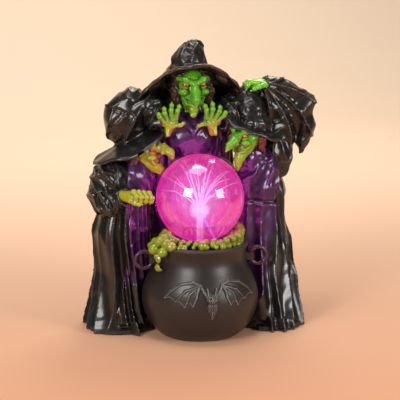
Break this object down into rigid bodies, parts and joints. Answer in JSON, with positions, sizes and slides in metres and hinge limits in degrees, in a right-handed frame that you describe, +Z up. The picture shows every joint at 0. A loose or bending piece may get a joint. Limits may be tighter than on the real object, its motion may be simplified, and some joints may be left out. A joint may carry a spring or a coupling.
{
  "type": "animated witch figure",
  "caption": "Three cast resin witches round a cauldron that carries a lit plasma globe, with a driver inside, a battery box, a selector and a power inlet.",
  "frame": {"origin": "centre of the footprint box, on the surface the figure stands on", "axes": "+Z up, the cauldron and the globe face -Y, +X to the right of someone who looks at the front"},
  "size_m": [0.2129, 0.1597, 0.2488],
  "materials": {
    "cauldron_resin": "painted resin, satin black with a brown cast",
    "ring_resin": "painted resin, dark with a red-brown dry brush",
    "bat_resin": "black resin dry-brushed silver grey",
    "foam_resin": "glossy lime-green painted resin",
    "globe_glass": "clear glass, lit magenta from inside",
    "post_glass": "clear glass tube",
    "electrode_steel": "steel wool core",
    "socket_plastic": "moulded black",
    "gasket_rubber": "foam rubber",
    "board_laminate": "green solder mask",
    "transformer_tape": "yellow tape round ferrite",
    "capacitor_sleeve": "dark blue sleeve",
    "chip_plastic": "moulded black",
    "sink_aluminium": "plain extruded",
    "hv_insulation": "red silicone insulation",
    "lead_insulation": "PVC insulation",
    "screw_steel": "zinc plated",
    "black_resin": "satin black painted resin with grey highlights",
    "hat_resin": "satin black painted resin with brown edges",
    "purple_resin": "pearl deep purple painted resin",
    "green_skin": "bright green paint with a dark wash",
    "yellow_skin": "yellow-olive paint with a purple-brown wash",
    "hair_resin": "dark brown painted resin",
    "red_hair_resin": "maroon painted resin",
    "base_plastic": "moulded black, fine texture",
    "cell_jacket": "plain foil jacket",
    "spring_steel": "nickel plated",
    "panel_plastic": "moulded black",
    "knob_plastic": "moulded light grey",
    "mic_can": "pressed can"
  },
  "bodies": {
    "figure": {"base_plate": "base_plastic", "base_screws": "screw_steel", "bat_relief": "bat_resin", "battery_cells": "cell_jacket", "battery_leads": "lead_insulation", "board_capacitors": "capacitor_sleeve", "board_screws": "screw_steel", "brew_foam": "foam_resin", "cauldron": "cauldron_resin", "cauldron_ring_left": "ring_resin", "cauldron_ring_right": "ring_resin", "contact_plates": "spring_steel", "contact_springs": "spring_steel", "driver_board": "board_laminate", "electrode_core": "electrode_steel", "electrode_post": "post_glass", "flyback_transformer": "transformer_tape", "globe_gasket": "gasket_rubber", "globe_glass": "globe_glass", "globe_socket": "socket_plastic", "heat_sink": "sink_aluminium", "high_voltage_lead": "hv_insulation", "hinge_pin": "screw_steel", "left_cloak": "black_resin", "left_fist": "yellow_skin", "left_gown": "purple_resin", "left_hair": "hair_resin", "left_hat": "hat_resin", "left_head": "yellow_skin", "left_sleeve": "black_resin", "microphone": "mic_can", "overflow_foam": "foam_resin", "panel_screws": "screw_steel", "power_jack": "panel_plastic", "power_transistor": "chip_plastic", "rear_gown": "purple_resin", "rear_hair": "hair_resin", "rear_hat": "hat_resin", "rear_head": "green_skin", "rear_left_hand": "green_skin", "rear_left_sleeve": "black_resin", "rear_right_hand": "green_skin", "rear_right_sleeve": "black_resin", "rear_robe": "black_resin", "right_cloak": "black_resin", "right_gown": "purple_resin", "right_hair": "red_hair_resin", "right_hat": "hat_resin", "right_head": "green_skin", "right_raised_hand": "green_skin", "right_sleeve": "black_resin", "selector_switch": "panel_plastic", "socket_screws": "screw_steel", "supply_leads": "lead_insulation", "switch_panel": "panel_plastic"},
    "battery_door": {"battery_door": "base_plastic", "door_screw": "screw_steel"},
    "selector_knob": {"selector_knob": "knob_plastic"}
  },
  "joints": [
    {"name": "battery_door_hinge", "type": "hinge", "parent": "figure", "child": "battery_door", "pos_m": [-0.02985, 0.0476, 0.0023], "axis": [0, 1, 0], "range_deg": [0, 95]},
    {"name": "selector_slide", "type": "slide", "parent": "figure", "child": "selector_knob", "axis": [1, 0, 0], "range_m": [-0.002, 0.002]}
  ]
}
